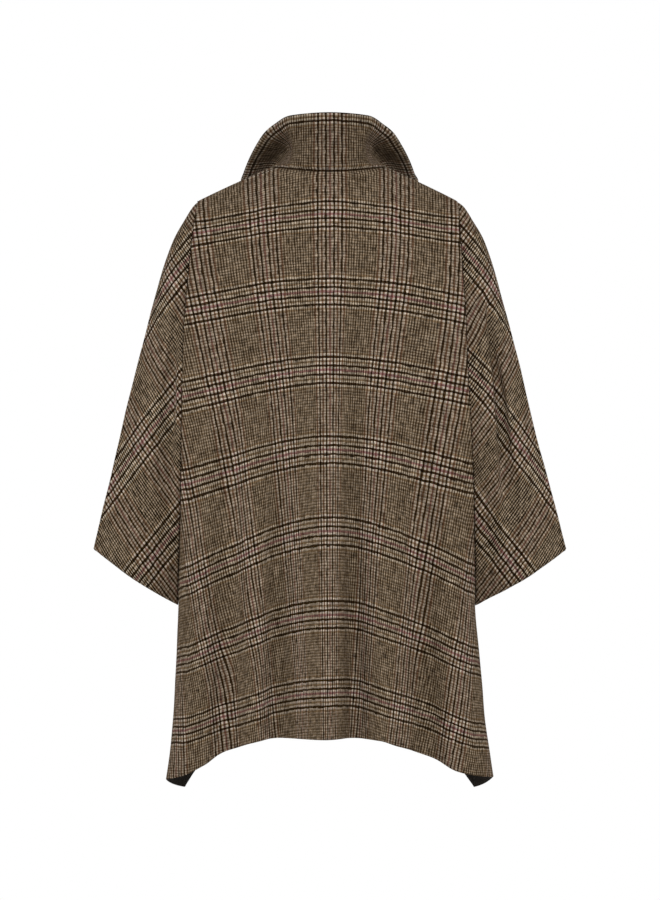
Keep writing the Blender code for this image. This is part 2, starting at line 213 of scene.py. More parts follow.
def halfSection(m, t, throat, side, start):
    # Plan curve from the centre to the side line, which stands off in depth along the armhole by
    # sin(pi v^p)^q, v being the share down to the underarm.
    key = "front" if throat else "back"
    v = np.clip(t / cut["underarm"], 0.0, 1.0)
    p, q = cut["armholePowers"]
    reach = (-cut["armholeFront"] if throat else cut["armholeBack"]) * np.sin(np.pi * v ** p) ** q
    edgeY = reading(sideLine, "y" if side > 0 else "rightY", t) + reach
    centre = reading(section, key + "Centre", t)
    x = bezier(m, start, reading(section, key + "Reach", t), reading(section, key + "X", t),
               reading(sideLine, "x", t))
    flat = cut["lapShare"] if throat else 0.0
    along = np.clip((m - flat) / (1 - flat), 0.0, 1.0)
    return x, bezier(along, centre, centre, reading(section, key + "Y", t), edgeY)


# A half panel: its top edge goes over into the plan sections within rise, by a parabola at the neck
# and a quarter circle further out, with the flutes at strength deep.
def halfPanel(m, t, throat, side, start=0.0, deep=1.0):
    topX, topY, topZ = topEdge(m, throat)
    x, y = halfSection(m, t, throat, side, start)
    baseX, baseY = halfSection(m, np.zeros_like(t), throat, side, start)
    f = np.clip(t / cut["rise"], 0.0, 1.0)
    gentle = 1 - (1 - f) ** 2
    blend = gentle + (np.sqrt(f * (2 - f)) - gentle) * ease(*cut["riseFade"], m)
    x = x + (1 - blend) * (topX - baseX)
    y = y + (1 - blend) * (topY - baseY)
    z = topZ * (1 - t) + reading(frontHem if throat else backHem, "left" if side > 0 else "right", m) * t
    x = x * (1.0 if side > 0 else reading(sideLine, "right", t))
    grow = deep * ease(cut["fluteStart"], 1.0, t) * (1 - ease(*cut["fluteFade"], m))
    y = y + (-1 if throat else 1) * flute(frontFlutes if throat else backFlutes, side * x) * grow
    return np.stack((side * x, y, z), axis=-1)


def lapStep(m):
    # Full at the lap, none from the side neck on.
    return cut["lapStep"] * (1 - ease(*cut["lapFade"], m))


def outward(points):
    # Unit cross product of the steps along and down the grid.
    square = np.cross(np.gradient(points, axis=1), np.gradient(points, axis=0))
    return square / np.maximum(np.linalg.norm(square, axis=-1, keepdims=True), 1e-12)


def running(steps, axis):
    # Running sum of steps, from nought.
    return np.insert(np.cumsum(steps, axis=axis), 0, 0.0, axis=axis)


def runAlong(points, axis):
    # Distance along the grid from its first row or column.
    return running(np.linalg.norm(np.diff(points, axis=axis), axis=-1), axis)


def fromColumn(values, column):
    # Values over the grid, less each row's value in one column.
    return values - values[:, column:column + 1]


# Soft troughs (+) and ridges (-): each crease is rows of down, across, half width and depth, and
# its section is a raised cosine about the line through those rows.
def creaseDepth(across, down, creases):
    total = np.zeros_like(across)
    for crease in creases:
        d, place, half, depth = np.array(sorted(crease), dtype=float).T
        away = (across - through(d, place, down)) / through(d, half, down)
        on = (down >= d[0]) & (down <= d[-1])
        bell = (1 + np.cos(np.pi * np.clip(away, -1.0, 1.0))) / 2
        total += np.where(on, through(d, depth, down) * bell, 0.0)
    return total


# Slow waves in the hanging cloth: radians to the metre across and down, phase and weight.
waves = table(
    "across down phase weight",
    (37.0, 11.0, 1.0, 1.0), (23.0, -29.0, 2.1, 1.0), (61.0, 41.0, 3.7, 0.7), (17.0, -83.0, 0.6, 0.5),
)


def unevenness(across, down, size, seed):
    # The weighted mean of the waves, which cross one another, so that no two places hang alike.
    total = sum(weight * np.sin(a * across + d * down + phase * seed)
                for a, d, phase, weight in zip(*waves.values()))
    return size * total / waves["weight"].sum()


def seamFall(distance, depth, reach):
    # The pressed valley beside a seam: a bell of its depth, gone a few reaches away.
    return depth * np.exp(-(distance / reach) ** 2)


def neckTuck(turn, distance, side, reach):
    # Panels and collar turn in level towards the neck where they meet, each by a bell.
    ahead = np.radians(turn)
    into = np.stack((-side * np.sin(ahead), -np.cos(ahead), np.zeros_like(ahead)), axis=-1)
    return into * seamFall(distance, cut["tuck"], reach)[..., None]


def topSeams(points, m, t, throat, side):
    # Tuck along the neck seam and fall along the shoulder seam, which share out at the side neck.
    below = np.where(t < cut["topShare"], runAlong(points, 0), 1.0)
    shoulder = ease(0.0, cut["tuckFade"], m - cut["neckShare"])
    tuck = neckTuck(neckTurn(m, throat), below, side, cut["tuckReach"]) * (1 - shoulder)[..., None]
    return tuck, seamFall(below, *cut["shoulderSeam"]) * shoulder


def gridFaces(rows, columns):
    # Point numbers of a grid, and the four corners of each of its cells.
    index = np.arange(rows * columns).reshape(rows, columns)
    corners = np.stack((index[:-1, :-1], index[:-1, 1:], index[1:, 1:], index[1:, :-1]), -1)
    return index, corners.reshape(-1, 4)


def addObject(name, data):
    # An object at the origin, in the scene.
    made = bpy.data.objects.new(name, data)
    bpy.context.scene.collection.objects.link(made)
    return made


# A closed sheet: faces on the surface, faces one cloth in, and a rim whose middle stands out by
# the edge's roundness (top, bottom, first and last column).
def sheetMesh(name, points, outside, start, thick, threads, rounds, materials):
    normal = outward(points) * outside
    outer = points - normal * start
    inner = points - normal * (start + thick)
    index, quads = gridFaces(*points.shape[:2])
    count = index.size
    ring = np.concatenate((index[0, :], index[1:, -1], index[-1, -2::-1], index[-2:0:-1, 0]))
    push = np.zeros_like(points)
    for here, beside, amount in zip((np.s_[0], np.s_[-1], np.s_[:, 0], np.s_[:, -1]),
                                    (np.s_[1], np.s_[-2], np.s_[:, 1], np.s_[:, -2]), rounds):
        away = points[here] - points[beside]
        push[here] += amount * away / np.maximum(np.linalg.norm(away, axis=-1, keepdims=True), 1e-12)
    middle = ((outer + inner) / 2 + push).reshape(-1, 3)[ring]
    a = np.arange(len(ring))
    b = np.roll(a, -1)
    mid = 2 * count
    rimOut = np.stack((ring[b], ring[a], mid + a, mid + b), -1)
    rimIn = np.stack((mid + b, mid + a, count + ring[a], count + ring[b]), -1)
    faces = np.concatenate((quads, rimOut, quads[:, ::-1] + count, rimIn))
    if outside < 0:
        faces = faces[:, ::-1]
    vertices = np.concatenate((outer.reshape(-1, 3), inner.reshape(-1, 3), middle))
    flat = threads.reshape(-1, 2)
    flat = np.concatenate((flat, flat, flat[ring]))
    mesh = bpy.data.meshes.new(name)
    mesh.from_pydata(vertices.tolist(), [], faces.tolist())
    layer = mesh.uv_layers.new(name="threads")
    layer.data.foreach_set("uv", flat[faces.ravel()].astype(np.float32).ravel())
    side = np.repeat((0, 1), len(quads) + len(ring))
    mesh.polygons.foreach_set("material_index", side.astype(np.int32))
    mesh.polygons.foreach_set("use_smooth", np.ones(len(faces), dtype=bool))
    for material in materials:
        mesh.materials.append(material)
    mesh.validate()
    return addObject(name, mesh)


# The check: warp bands every 97 mm and weft bands every 118 mm. An order names the lines from the
# middle of a band to the middle of the ground, and their widths are in pairs of yarns.
check = {
    "warpYarn": 0.0015, "weftYarn": 0.00162,
    "warpOrder": "rust light dark light brown light dark light brown" + " pale moss" * 6,
    "weftOrder": "red cream ink cream tan cream ink cream tan" + " oat bark" * 7 + " oat",
    "yarns": {"dark": "#2a1c0b", "light": "#8a7c68", "brown": "#523d2b", "red": "#64473e",
              "rust": "#5b4134", "ink": "#271a0a", "cream": "#877965", "tan": "#5d4b35",
              "pale": "#80715b", "moss": "#3e3120", "oat": "#726350", "bark": "#554633"},
    "biasYarns": {"pale": "#8a7a62", "moss": "#1d160c"},
    "widths": {"ink": 1.12, "cream": 0.94, "pale": 0.67, "moss": 0.67, "oat": 0.67, "bark": 0.67},
    "ground": "#635540", "twill": 0.10, "slubs": 0.60, "wobble": 0.0009, "jostle": 0.0024, "nap": 0.14,
    # Repeats to the metre: a waver of 18 mm, slubs of 2 by 14 mm and fibres of 1.6 mm.
    "waver": 55.0, "warpSlubs": (520.0, 70.0, 1.0), "weftSlubs": (70.0, 480.0, 1.0), "fibres": 620.0,
    # The collar's copy of the cloth is darkened to 0.80 of the body's colour: painted shade.
    "yarnRelief": 2.2, "reliefDepth": 0.0006, "bloom": "#d0b090", "collarPaintedShade": 0.80,
    # How the bands lie on a body panel.
    "crowd": 0.3, "sideTurn": 0.72, "turnFade": (0.06, 0.34), "middleBand": (0.33, 0.022),
    "shoulderEnd": -0.20, "halfBreadth": 0.2203,
}


def lineEnds(order):
    # Where each line of a half repeat ends, in pairs of yarns; the two end lines count half.
    wide = np.array([check["widths"].get(name, 1.0) for name in order.split()])
    wide[[0, -1]] /= 2
    return np.cumsum(wide)


warpRepeat = 4 * check["warpYarn"] * lineEnds(check["warpOrder"])[-1]
weftRepeat = 4 * check["weftYarn"] * lineEnds(check["weftOrder"])[-1]

# How the flare gathers the warp bands towards the hem: band pitch near the centre and its growth
# with each band, for the left and right halves, by height.
gather = table(
    "z left leftGrow right rightGrow",
    (-0.900, 0.0263, 0.0073, 0.0305, 0.0079),
    (-0.807, 0.0313, 0.0064, 0.0360, 0.0080),
    (-0.720, 0.0368, 0.0057, 0.0409, 0.0080),
    (-0.634, 0.0441, 0.0056, 0.0454, 0.0086),
    (-0.560, 0.0495, 0.0055, 0.0488, 0.0094),
    (-0.444, 0.0580, 0.0052, 0.0558, 0.0105),
    (-0.341, 0.0658, 0.0052, 0.0622, 0.0115),
    (-0.091, 0.0975, 0.0012, 0.0960, 0.0017),
    (0.050, 0.1060, 0.0015, 0.0985, 0.0015),
)

# Middles of the weft bands at the centre back, and how far they have fallen at each side.
weftBands = table(
    "z count left right",
    (-0.8820, 7.0, 0.0485, 0.0485),
    (-0.7673, 6.0, 0.0587, 0.0661),
    (-0.6542, 5.0, 0.0690, 0.0705),
    (-0.5323, 4.0, 0.0749, 0.0705),
    (-0.4134, 3.0, 0.0529, 0.0441),
    (-0.2966, 2.0, 0.0382, 0.0308),
    (-0.1814, 1.0, 0.0279, 0.0279),
    (-0.0650, 0.0, 0.0279, 0.0235),
    (0.0480, -1.0, 0.0250, 0.0220),
    (0.1650, -2.0, 0.0250, 0.0220),
)


# Threads of a body panel. Across: the plan distance from the centre, straight up over the
# shoulder, counted closer where the flare gathers and by crowd closer still on the slopes of the
# flutes; the turn to the side counts by sideTurn. Down: the height read through the weft bands,
# less their fall to the sides, plus what the cloth loses over the shoulder.
def panelThreads(base, t, flutes, centre, leftSide):
    x, z = base[..., 0], base[..., 2]
    step = np.diff(base, axis=1)
    turned = ease(*check["turnFade"], t[:, 1:])

    def fromCentre(turning):
        # Signed plan distance from the centre column, with the step in depth weighed by turning.
        return fromColumn(running(np.hypot(step[..., 0], turning * turned * step[..., 1]), 1), centre)

    def ofSide(rows, at, tail=""):
        # The left or the right column of a table, by the side that a point is on.
        return np.where(leftSide, reading(rows, "left" + tail, at), reading(rows, "right" + tail, at))

    arc = fromCentre(check["sideTurn"])
    pitch = ofSide(gather, z)
    close = warpRepeat / np.sqrt(pitch ** 2 + 4 * ofSide(gather, z, "Grow") * np.abs(arc))
    slope = 1 - check["crowd"] * np.cos(2 * np.pi * stations(flutes, x)[1])
    density = 1 + (close - 1) * slope
    warp = fromColumn(running(np.diff(arc, axis=1) * (density[:, 1:] + density[:, :-1]) / 2, 1), centre)
    # The middle band keeps more of its width than the flare would leave it.
    keep, reach = check["middleBand"]
    warp = warp - keep * (warpRepeat / pitch - 1) * arc * np.exp(-(arc / reach) ** 2)
    over = fromColumn(runAlong(base, 0) + z - z[:1], centre)
    row = np.argmin(np.abs(z[:, centre] - check["shoulderEnd"]))
    height = z + np.clip(over[row:row + 1] - over, 0.0, None)
    out = np.abs(fromCentre(1.0)) / check["halfBreadth"]
    sag = np.where(out < 1, 0.5 * (out ** 2 + ease(0.0, 1.0, out)), 1 + 0.5 * (out - 1))
    # The fall is read a second time, at the height to which it leads.
    fall = ofSide(weftBands, height + ofSide(weftBands, height) * sag)
    weft = np.interp(height + fall * sag, weftBands["z"], weftBands["count"]) * weftRepeat
    return np.stack((warp, weft), axis=-1)


def panelRows(count):
    # Shares down a panel, raised to a power that brings them closer together over the shoulder.
    return np.linspace(0.0, 1.0, count) ** cut["rowPower"]


# sRGB hex to linear: c/12.92 below 0.04045, else ((c + 0.055) / 1.055)^2.4.
def linear(code):
    c = np.array([int(code[i:i + 2], 16) for i in (1, 3, 5)]) / 255.0
    return (*np.where(c <= 0.04045, c / 12.92, ((c + 0.055) / 1.055) ** 2.4).tolist(), 1.0)


# One node: settings by name, inputs either linked to a socket or set to a value.
def addNode(tree, kind, inputs=None, **settings):
    made = tree.nodes.new(kind)
    for name, value in settings.items():
        setattr(made, name, value)
    for key, value in (inputs or {}).items():
        if isinstance(value, bpy.types.NodeSocket):
            tree.links.new(value, made.inputs[key])
        else:
            made.inputs[key].default_value = value
    return made


# A node material whose shader has on its sockets the values that are the same all over.
def newMaterial(name, finish):
    material = bpy.data.materials.new(name)
    material.use_nodes = True
    shader = material.node_tree.nodes["Principled BSDF"]
    for socket, value in finish.items():
        shader.inputs[socket].default_value = value
    return material, material.node_tree, shader


def bandShare(tree, along, repeat):
    # 0 in the middle of a band, 1 midway to the next: twice the distance to the nearest repeat.
    turns = addNode(tree, "ShaderNodeMath", {0: along, 1: 1 / repeat, 2: 0.5}, operation="MULTIPLY_ADD")
    part = addNode(tree, "ShaderNodeMath", {0: turns.outputs[0]}, operation="FRACT")
    middle = addNode(tree, "ShaderNodeMath", {0: part.outputs[0], 1: 0.5}, operation="SUBTRACT")
    near = addNode(tree, "ShaderNodeMath", {0: middle.outputs[0]}, operation="ABSOLUTE")
    return addNode(tree, "ShaderNodeMath", {0: near.outputs[0], 1: 2.0}, operation="MULTIPLY").outputs[0]


def yarnOrder(tree, share, order, yarns):
    # The lines from the middle of a band to the middle of the ground, each in its yarn's colour.
    ramp = addNode(tree, "ShaderNodeValToRGB", {"Fac": share})
    ramp.color_ramp.interpolation = "CONSTANT"
    names = order.split()
    stops = ramp.color_ramp.elements
    stops.remove(stops[1])
    stops[0].position = 0.0
    stops[0].color = linear(yarns[names[0]])
    ends = lineEnds(order)
    for end, name in zip(ends[:-1] / ends[-1], names[1:]):
        stops.new(end).color = linear(yarns[name])
    return ramp.outputs["Color"]


# Brushed wool coating in a glen check, woven in 2/2 twill and raised a little: soft broken lines
# two yarns wide, a dry face with a faint bloom at grazing angles. The yarns are drawn about twice
# as thick as real ones, so that the twill shows.
def checkedWool(name, paintedShade, yarns=check["yarns"]):
    material, tree, shader = newMaterial(name, {
        "Roughness": 0.92, "Specular IOR Level": 0.03,
        "Sheen Weight": 0.05, "Sheen Roughness": 0.55, "Sheen Tint": linear(check["bloom"])})
    threads = addNode(tree, "ShaderNodeUVMap", uv_map="threads").outputs["UV"]
    waver = addNode(tree, "ShaderNodeTexNoise",
                    {"Vector": threads, "Scale": check["waver"], "Detail": 2.0}, noise_dimensions="2D")
    middle = addNode(tree, "ShaderNodeVectorMath", {0: waver.outputs["Color"], 1: (0.5, 0.5, 0.5)},
                     operation="SUBTRACT")
    moved = addNode(tree, "ShaderNodeVectorMath",
                    {0: middle.outputs[0], 1: (check["wobble"],) * 3, 2: threads},
                    operation="MULTIPLY_ADD")
    # Slubs: yarns run thick and thin for about 14 mm, warp ones lengthwise and weft ones across.
    slubs = []
    for stretch in (check["warpSlubs"], check["weftSlubs"]):
        placed = addNode(tree, "ShaderNodeVectorMath", {0: threads, 1: stretch}, operation="MULTIPLY")
        slub = addNode(tree, "ShaderNodeTexNoise",
                       {"Vector": placed.outputs[0], "Scale": 1.0, "Detail": 1.0}, noise_dimensions="2D")
        slubs.append(slub.outputs["Fac"])
    uneven = addNode(tree, "ShaderNodeMath", {0: slubs[0], 1: slubs[1]}, operation="ADD")
    pushed = addNode(tree, "ShaderNodeCombineXYZ", {0: slubs[0], 1: slubs[1]})
    aside = addNode(tree, "ShaderNodeVectorMath", {0: pushed.outputs[0], 1: (0.5, 0.5, 0.0)},
                    operation="SUBTRACT")
    jostled = addNode(tree, "ShaderNodeVectorMath",
                      {0: aside.outputs[0], 1: (check["jostle"],) * 3, 2: moved.outputs[0]},
                      operation="MULTIPLY_ADD")
    split = addNode(tree, "ShaderNodeSeparateXYZ", {0: jostled.outputs[0]})
    along, down = split.outputs["X"], split.outputs["Y"]
    warp = yarnOrder(tree, bandShare(tree, along, warpRepeat), check["warpOrder"], yarns)
    weft = yarnOrder(tree, bandShare(tree, down, weftRepeat), check["weftOrder"], yarns)
    # Twill: the warp is on top where its yarn number plus the weft's, over four, leaves less than two.
    ends = addNode(tree, "ShaderNodeMath", {0: along, 1: 1 / check["warpYarn"]}, operation="MULTIPLY")
    picks = addNode(tree, "ShaderNodeMath", {0: down, 1: 1 / check["weftYarn"]}, operation="MULTIPLY")
    end = addNode(tree, "ShaderNodeMath", {0: ends.outputs[0]}, operation="FLOOR")
    pick = addNode(tree, "ShaderNodeMath", {0: picks.outputs[0]}, operation="FLOOR")
    both = addNode(tree, "ShaderNodeMath", {0: end.outputs[0], 1: pick.outputs[0]}, operation="ADD")
    left = addNode(tree, "ShaderNodeMath", {0: both.outputs[0], 1: 4.0}, operation="FLOORED_MODULO")
    onTop = addNode(tree, "ShaderNodeMath", {0: left.outputs[0], 1: 1.5}, operation="LESS_THAN")
    # Crossing yarns darken each other: warp times weft over the ground, so dark lines stay whole.
    ground = linear(check["ground"])[:3]
    crossed = addNode(tree, "ShaderNodeVectorMath", {0: warp, 1: weft}, operation="MULTIPLY")
    woven = addNode(tree, "ShaderNodeVectorMath", {0: crossed.outputs[0], 1: ground}, operation="DIVIDE")
    upper = addNode(tree, "ShaderNodeMix", {"Factor": onTop.outputs[0], "A": weft, "B": warp},
                    data_type="RGBA")
    face = addNode(tree, "ShaderNodeMix", {"Factor": check["twill"], "A": woven.outputs[0],
                                           "B": upper.outputs["Result"]}, data_type="RGBA")
    # Nap: short fibres lie over the yarns and blur them lighter and darker. Their noise runs from
    # about 0.2 to 0.8, and the two noises of the slubs together from 0.6 to 1.4.
    fibres = addNode(tree, "ShaderNodeTexNoise",
                     {"Vector": threads, "Scale": check["fibres"], "Detail": 3.0, "Roughness": 0.62},
                     noise_dimensions="2D")
    # The second argument scales the whole colour together with the fuzz; below 1, as on the collar, it is
    # painted shade.
    fuzz = addNode(tree, "ShaderNodeMapRange",
                   {"Value": fibres.outputs["Fac"], "From Min": 0.2, "From Max": 0.8,
                    "To Min": paintedShade * (1 - check["nap"]), "To Max": paintedShade * (1 + check["nap"])}, clamp=False)
    tone = addNode(tree, "ShaderNodeMapRange",
                   {"Value": uneven.outputs[0], "From Min": 0.6, "From Max": 1.4,
                    "To Min": 1 - check["slubs"], "To Max": 1 + check["slubs"]}, clamp=False)
    shade = addNode(tree, "ShaderNodeMath", {0: tone.outputs[0], 1: fuzz.outputs[0]}, operation="MULTIPLY")
    napped = addNode(tree, "ShaderNodeVectorMath", {0: face.outputs["Result"], "Scale": shade.outputs[0]},
                     operation="SCALE")
    tree.links.new(napped.outputs[0], shader.inputs["Base Color"])
    # Relief: each yarn is round across, by f(1 - f) times yarnRelief, with the fibres on top.
    reliefs = []
    for count in (ends, picks):
        f = addNode(tree, "ShaderNodeMath", {0: count.outputs[0]}, operation="FRACT")
        g = addNode(tree, "ShaderNodeMath", {0: 1.0, 1: f.outputs[0]}, operation="SUBTRACT")
        reliefs.append(addNode(tree, "ShaderNodeMath", {0: f.outputs[0], 1: g.outputs[0]},
                               operation="MULTIPLY").outputs[0])
    yarn = addNode(tree, "ShaderNodeMix", {"Factor": onTop.outputs[0], "A": reliefs[1], "B": reliefs[0]})
    pile = addNode(tree, "ShaderNodeMath",
                   {0: yarn.outputs["Result"], 1: check["yarnRelief"], 2: fibres.outputs["Fac"]},
                   operation="MULTIPLY_ADD")
    relief = addNode(tree, "ShaderNodeBump",
                     {"Height": pile.outputs[0], "Strength": 0.30, "Distance": check["reliefDepth"]})
    tree.links.new(relief.outputs["Normal"], shader.inputs["Normal"])
    return material


# The dark face, with its fibres, 2.4 mm long, as repeats to the metre.
pileFace = {"deep": "#120d09", "raised": "#2a211a", "fibres": 420.0, "reliefDepth": 0.0007}


# The plain reverse of the double-faced coating, brushed nearly black-brown: no pattern, a soft
# matt pile that swallows the light.
def darkReverse():
    material, tree, shader = newMaterial("brushedDarkReverse", {
        "Roughness": 0.95, "Specular IOR Level": 0.15, "Sheen Weight": 0.05})
    threads = addNode(tree, "ShaderNodeUVMap", uv_map="threads").outputs["UV"]
    fibres = addNode(tree, "ShaderNodeTexNoise",
                     {"Vector": threads, "Scale": pileFace["fibres"], "Detail": 4.0, "Roughness": 0.65},
                     noise_dimensions="2D")
    tone = addNode(tree, "ShaderNodeMix",
                   {"Factor": fibres.outputs["Fac"], "A": linear(pileFace["deep"]),
                    "B": linear(pileFace["raised"])}, data_type="RGBA")
    tree.links.new(tone.outputs["Result"], shader.inputs["Base Color"])
    relief = addNode(tree, "ShaderNodeBump", {"Height": fibres.outputs["Fac"], "Strength": 0.4,
                                              "Distance": pileFace["reliefDepth"]})
    tree.links.new(relief.outputs["Normal"], shader.inputs["Normal"])
    return material


wool = checkedWool("checkedWoolTwill", 1.0)
# Hung on the bias, the warp's floats open up and its fine lines stand out.
biasWool = checkedWool("checkedWoolTwillBias", 1.0, {**check["yarns"], **check["biasYarns"]})
# On the collar the whole colour is darkened: painted shade, so that the collar reads darker than the body.
collarWoolPaintedShade = checkedWool("checkedWoolTwillCollarShaded", check["collarPaintedShade"])
reverse = darkReverse()
print("cloth ready: warp repeat %.0f mm, weft repeat %.0f mm" % (1000 * warpRepeat, 1000 * weftRepeat))


# Back, cut in one. Creases are placed across in x and down in z.
back = {
    "columns": 241, "rows": 170, "deeper": 1.25, "uneven": 0.0010, "seed": 1.3,
    "flat": (0.80, 0.95), "area": 0.50, "rounds": (0.0, 0.0010, 0.0006, 0.0006),
    "creases": [
        ((-0.100, -0.030, 0.020, 0.000), (-0.260, -0.033, 0.020, 0.005), (-0.560, -0.034, 0.019, 0.006),
         (-0.870, -0.036, 0.019, 0.005)),
        ((-0.320, 0.150, 0.032, 0.000), (-0.450, 0.148, 0.032, 0.006), (-0.900, 0.148, 0.033, 0.007)),
        ((-0.340, 0.078, 0.024, 0.000), (-0.460, 0.076, 0.024, 0.004), (-0.860, 0.078, 0.025, 0.004)),
        ((-0.240, -0.126, 0.028, 0.000), (-0.360, -0.132, 0.030, 0.006), (-0.700, -0.138, 0.031, 0.006),
         (-0.900, -0.150, 0.033, 0.006)),
        ((-0.080, 0.085, 0.060, 0.000), (-0.190, 0.090, 0.060, -0.005), (-0.330, 0.100, 0.060, 0.000)),
        ((-0.070, -0.100, 0.060, 0.000), (-0.190, -0.110, 0.060, -0.006), (-0.360, -0.125, 0.060, 0.000)),
    ],
}


# Two half panels with their flutes drawn deeper, moved in along the outward direction by the creases,
# the unevenness and the seams, and tucked in at the neck.
def backPiece():
    s, t = np.meshgrid(np.linspace(-1.0, 1.0, back["columns"]), panelRows(back["rows"]))
    m, left = np.abs(s), s >= 0
    base, points = (np.where(left[..., None], halfPanel(m, t, False, 1, deep=deep),
                             halfPanel(m, t, False, -1, deep=deep)) for deep in (0.0, 1.0))
    points = points + (points - base) * (back["deeper"] - 1)
    points[..., 1] += cut["seamGap"] / 2
    x, z = points[..., 0], points[..., 2]
    run = runAlong(points, 1)
    ends = np.minimum(run, run[:, -1:] - run)
    calm = ease(0.0, cut["unevenCalm"], ends) * ease(0.0, cut["unevenTop"], t)
    fall = creaseDepth(x, z, back["creases"]) * ease(0.0, cut["creaseCalm"], ends)
    fall += unevenness(x, z, back["uneven"], back["seed"]) * calm
    tuck, shoulder = topSeams(points, m, t, False, np.sign(s))
    fall += seamFall(ends, *cut["armSeam"]) + shoulder
    threads = panelThreads(base, t, backFlutes, back["columns"] // 2, left)
    points = points - outward(points) * fall[..., None] + tuck
    return sheetMesh("backCloth", points, 1, 0.0, cut["cloth"], threads, back["rounds"], (wool, reverse))


# Fronts, right over left. Plain hanging folds like the back's.
fronts = {
    "columns": 121, "rows": 170, "uneven": 0.0010, "seed": 4.2, "edgeFade": (0.05, 0.10),
    "rightShift": 0.018, "shiftFade": (-0.2, -0.8),
    "flat": (0.40, 0.95), "area": 0.27, "rounds": (0.0, 0.0010, 0.0010, 0.0006),
    "creases": [
        ((-0.300, 0.082, 0.024, 0.000), (-0.600, 0.080, 0.026, 0.004), (-0.880, 0.080, 0.028, 0.005)),
        ((-0.380, 0.172, 0.026, 0.000), (-0.650, 0.178, 0.028, 0.004), (-0.920, 0.182, 0.030, 0.005)),
        ((-0.160, 0.115, 0.030, 0.000), (-0.260, 0.128, 0.030, 0.003), (-0.380, 0.140, 0.030, 0.000)),
    ],
}


# A half panel from the lap's edge to the side seam, the right one a lap step further out and its
# creases shifted towards the hem, moved in as the back is.
def frontPiece(side, name):
    m, t = np.meshgrid(np.linspace(0.0, 1.0, fronts["columns"]), panelRows(fronts["rows"]))
    base = halfPanel(m, t, True, side, -cut["lap"], deep=0.0)
    points = halfPanel(m, t, True, side, -cut["lap"])
    points[..., 1] -= cut["seamGap"] / 2 + (lapStep(m) if side < 0 else 0.0)
    x, z = side * points[..., 0], points[..., 2]
    run = runAlong(points, 1)
    seamSide = run[:, -1:] - run
    shift = 0.0 if side > 0 else fronts["rightShift"] * ease(*fronts["shiftFade"], z)
    calm = ease(0.0, cut["unevenCalm"], seamSide) * ease(0.0, cut["unevenTop"], t)
    calm = calm * ease(*fronts["edgeFade"], run)
    fall = creaseDepth(x + shift, z, fronts["creases"]) * ease(0.0, cut["creaseCalm"], seamSide)
    fall += unevenness(x, z, fronts["uneven"], fronts["seed"] + side) * calm
    tuck, shoulder = topSeams(points, m, t, True, side)
    fall += seamFall(seamSide, *cut["armSeam"]) + shoulder
    centreFront = np.argmin(np.abs(base[base.shape[0] // 2, :, 0]))
    threads = panelThreads(base, t, frontFlutes, centreFront, np.full(m.shape, side > 0))
    threads[..., 0] *= side
    points = points + outward(points) * side * fall[..., None] + tuck
    return sheetMesh(name, points, -side, 0.0, cut["cloth"], threads, fronts["rounds"], (wool, reverse))


# Sleeves, cut on the bias. Creases are placed across by angle, 90 at the back seam, 0 on the
# outside line and -90 at the front seam, and down by share of the length.
sleeves = {
    "columns": 161, "rows": 141, "first": 0.012, "power": 1.5, "foot": {1: 1.0035, -1: 1.0},
    "flatten": (0.05, 0.45), "straighter": 0.6, "foldRound": 16.0,
    "sag": {1: 0.0021, -1: 0.0035}, "sagWave": 0.6, "sagFrom": 0.5,
    "uneven": 0.0009, "seed": 7.0, "unevenFade": (0.03, 0.12), "creaseCalm": 0.02,
    "headSeam": (0.0010, 0.006), "rounds": (0.0006, 0.0010, 0.0006, 0.0006),
    "flat": (0.32, 0.62), "area": 0.14,
    "slope": (1.45, 1.20), "pitch": (0.1527, 0.1909), "flatter": 0.45,
    "start": {1: (-0.8070, -0.0661), -1: (-0.8217, -0.0661)},
    "folds": table(
        "turn half depth first last face arm",
        (16.0, 12.0, 0.005, 0.20, 0.95, 1.0, 1.0), (31.0, 12.0, 0.009, 0.22, 0.97, 1.0, -1.0),
        (22.0, 14.0, 0.007, 0.30, 0.95, -1.0, 1.0), (30.0, 14.0, 0.008, 0.25, 0.95, -1.0, -1.0),
    ),
    "leftCreases": [
        ((0.20, 80.0, 12.0, 0.000), (0.38, 80.0, 14.0, 0.008), (0.60, 80.0, 14.0, 0.009),
         (0.80, 80.0, 12.0, 0.005), (0.98, 80.0, 10.0, 0.000)),
        ((0.30, -66.0, 14.0, 0.000), (0.60, -62.0, 14.0, 0.004), (0.98, -60.0, 14.0, 0.003)),
    ],
    "rightCreases": [
        ((0.25, 53.0, 9.0, 0.000), (0.36, 55.0, 9.0, 0.011), (0.52, 57.0, 9.0, 0.014),
         (0.64, 60.0, 9.0, 0.012), (0.80, 64.0, 10.0, 0.006), (1.00, 68.0, 10.0, 0.001)),
        ((0.66, 80.0, 10.0, 0.000), (0.84, 80.0, 11.0, 0.006), (1.00, 80.0, 12.0, 0.002)),
        ((0.30, -58.0, 14.0, 0.000), (0.62, -60.0, 14.0, 0.005), (0.98, -64.0, 14.0, 0.003)),
    ],
}


